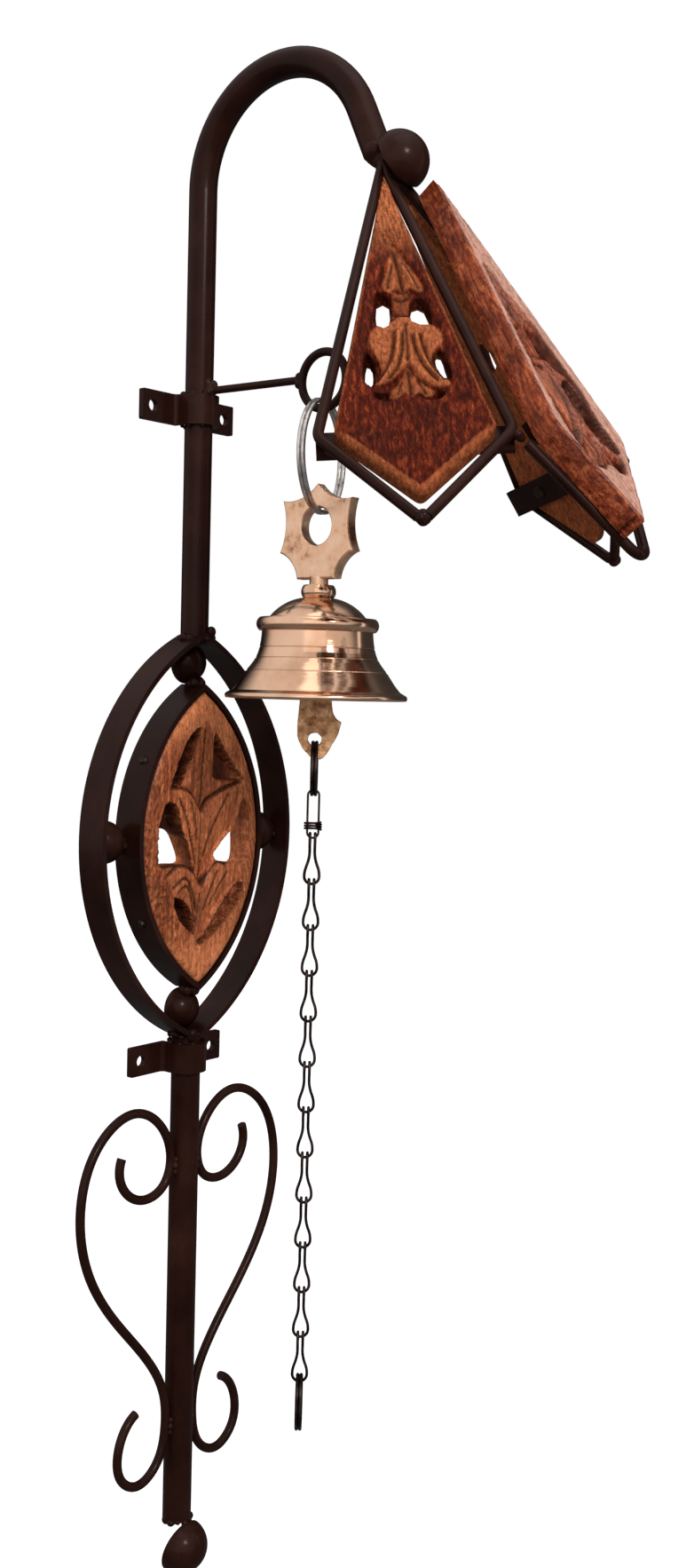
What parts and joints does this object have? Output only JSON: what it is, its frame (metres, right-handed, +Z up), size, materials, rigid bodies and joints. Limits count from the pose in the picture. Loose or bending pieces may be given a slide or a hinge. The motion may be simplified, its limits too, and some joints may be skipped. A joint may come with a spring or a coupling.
{
  "type": "wall mounted bell",
  "caption": "Wall bracket bell: wrought-iron pole with oval carved-wood medallion, heart scroll, carved canopy and a brass bell rung by a wire chain.",
  "frame": {"origin": "centre of the four wall screw holes, on the wall plane", "axes": "X to the right as seen facing the wall, +Y into the wall, +Z up along the pole"},
  "size_m": [0.1491, 0.2275, 0.6507],
  "materials": {
    "painted_iron": "satin dark brown-black paint",
    "carved_wood": "oiled, hand carved",
    "polished_brass": "polished",
    "cast_bronze": "rough cast",
    "ring_steel": "bright drawn wire",
    "dark_wire": "darkened wire",
    "screw_steel": "dull"
  },
  "bodies": {
    "frame": {"upper_tube": "painted_iron", "lower_tube": "painted_iron", "finial_ball": "painted_iron", "canopy_ball": "painted_iron", "medallion_ball_top": "painted_iron", "medallion_ball_bottom": "painted_iron", "medallion_ball_left": "painted_iron", "medallion_ball_right": "painted_iron", "upper_wall_bracket": "painted_iron", "lower_wall_bracket": "painted_iron", "outer_oval_left": "painted_iron", "outer_oval_right": "painted_iron", "inner_oval_left": "painted_iron", "inner_oval_right": "painted_iron", "left_scroll": "painted_iron", "right_scroll": "painted_iron", "stay_rod": "painted_iron", "stay_eye": "painted_iron", "canopy_left_frame": "painted_iron", "canopy_right_frame": "painted_iron", "canopy_front_rod": "painted_iron", "canopy_left_crossbar": "painted_iron", "canopy_front_crossbar": "painted_iron", "canopy_right_crossbar": "painted_iron", "medallion_panel": "carved_wood", "canopy_left_panel": "carved_wood", "canopy_front_panel": "carved_wood", "canopy_right_panel": "carved_wood", "medallion_nails": "screw_steel", "canopy_screws": "screw_steel"},
    "hanging_ring": {"hanging_ring": "ring_steel"},
    "bell": {"bell_crown": "polished_brass", "bell_body": "polished_brass", "clapper_staple": "ring_steel"},
    "clapper": {"clapper": "cast_bronze"},
    "clapper_ring": {"clapper_ring": "ring_steel"},
    "tie": {"tie_wire_loop": "dark_wire", "tie_wire_knot": "dark_wire"},
    "chain_link_01": {"chain_link_01": "dark_wire"},
    "chain_link_02": {"chain_link_02": "dark_wire"},
    "chain_link_03": {"chain_link_03": "dark_wire"},
    "chain_link_04": {"chain_link_04": "dark_wire"},
    "chain_link_05": {"chain_link_05": "dark_wire"},
    "chain_link_06": {"chain_link_06": "dark_wire"},
    "chain_link_07": {"chain_link_07": "dark_wire"},
    "chain_link_08": {"chain_link_08": "dark_wire"},
    "chain_link_09": {"chain_link_09": "dark_wire"},
    "chain_link_10": {"chain_link_10": "dark_wire"},
    "chain_link_11": {"chain_link_11": "dark_wire"},
    "chain_link_12": {"chain_link_12": "dark_wire"},
    "pull_ring": {"pull_ring": "ring_steel"}
  },
  "joints": [
    {"name": "ring_swing", "type": "hinge", "parent": "frame", "child": "hanging_ring", "pos_m": [0, -0.076, 0.13475], "axis": [0, 1, 0], "range_deg": [-20, 20]},
    {"name": "bell_swing", "type": "hinge", "parent": "hanging_ring", "child": "bell", "pos_m": [0, -0.076, 0.0933], "axis": [0.9563, 0.2924, 0], "range_deg": [-30, 7]},
    {"name": "clapper_swing", "type": "hinge", "parent": "bell", "child": "clapper", "pos_m": [0, -0.076, 0.046], "axis": [0.788, 0.6157, 0], "range_deg": [-32, 32]},
    {"name": "clapper_ring_swing", "type": "hinge", "parent": "clapper", "child": "clapper_ring", "pos_m": [0, -0.076, 0.0017], "axis": [-0.788, -0.6157, 0], "range_deg": [-32.5, 32.5]},
    {"name": "tie_swing", "type": "hinge", "parent": "clapper_ring", "child": "tie", "pos_m": [0, -0.076, -0.02085], "axis": [0.788, 0.6157, 0], "range_deg": [-15, 15]},
    {"name": "chain_link_01_hook", "type": "hinge", "parent": "tie", "child": "chain_link_01", "pos_m": [0, -0.076, -0.0386], "axis": [0.6157, -0.788, 0], "range_deg": [-12, 12]},
    {"name": "chain_link_02_hook", "type": "hinge", "parent": "chain_link_01", "child": "chain_link_02", "pos_m": [0, -0.076, -0.0575], "axis": [-0.6157, 0.788, 0], "range_deg": [-12, 12]},
    {"name": "chain_link_03_hook", "type": "hinge", "parent": "chain_link_02", "child": "chain_link_03", "pos_m": [0, -0.076, -0.0764], "axis": [0.6157, -0.788, 0], "range_deg": [-12, 12]},
    {"name": "chain_link_04_hook", "type": "hinge", "parent": "chain_link_03", "child": "chain_link_04", "pos_m": [0, -0.076, -0.0953], "axis": [-0.6157, 0.788, 0], "range_deg": [-12, 12]},
    {"name": "chain_link_05_hook", "type": "hinge", "parent": "chain_link_04", "child": "chain_link_05", "pos_m": [0, -0.076, -0.1142], "axis": [0.6157, -0.788, 0], "range_deg": [-12, 12]},
    {"name": "chain_link_06_hook", "type": "hinge", "parent": "chain_link_05", "child": "chain_link_06", "pos_m": [0, -0.076, -0.1331], "axis": [-0.6157, 0.788, 0], "range_deg": [-12, 12]},
    {"name": "chain_link_07_hook", "type": "hinge", "parent": "chain_link_06", "child": "chain_link_07", "pos_m": [0, -0.076, -0.152], "axis": [0.6157, -0.788, 0], "range_deg": [-12, 12]},
    {"name": "chain_link_08_hook", "type": "hinge", "parent": "chain_link_07", "child": "chain_link_08", "pos_m": [0, -0.076, -0.1709], "axis": [-0.6157, 0.788, 0], "range_deg": [-12, 12]},
    {"name": "chain_link_09_hook", "type": "hinge", "parent": "chain_link_08", "child": "chain_link_09", "pos_m": [0, -0.076, -0.1898], "axis": [0.6157, -0.788, 0], "range_deg": [-12, 12]},
    {"name": "chain_link_10_hook", "type": "hinge", "parent": "chain_link_09", "child": "chain_link_10", "pos_m": [0, -0.076, -0.2087], "axis": [-0.6157, 0.788, 0], "range_deg": [-12, 12]},
    {"name": "chain_link_11_hook", "type": "hinge", "parent": "chain_link_10", "child": "chain_link_11", "pos_m": [0, -0.076, -0.2276], "axis": [0.6157, -0.788, 0], "range_deg": [-12, 12]},
    {"name": "chain_link_12_hook", "type": "hinge", "parent": "chain_link_11", "child": "chain_link_12", "pos_m": [0, -0.076, -0.2465], "axis": [-0.6157, 0.788, 0], "range_deg": [-12, 12]},
    {"name": "pull_ring_swing", "type": "hinge", "parent": "chain_link_12", "child": "pull_ring", "pos_m": [0, -0.076, -0.2654], "axis": [0.6157, -0.788, 0], "range_deg": [-20, 20]}
  ],
  "couplings": [
    {"joint": "clapper_ring_swing", "follows": "clapper_swing", "ratio": 1}
  ]
}
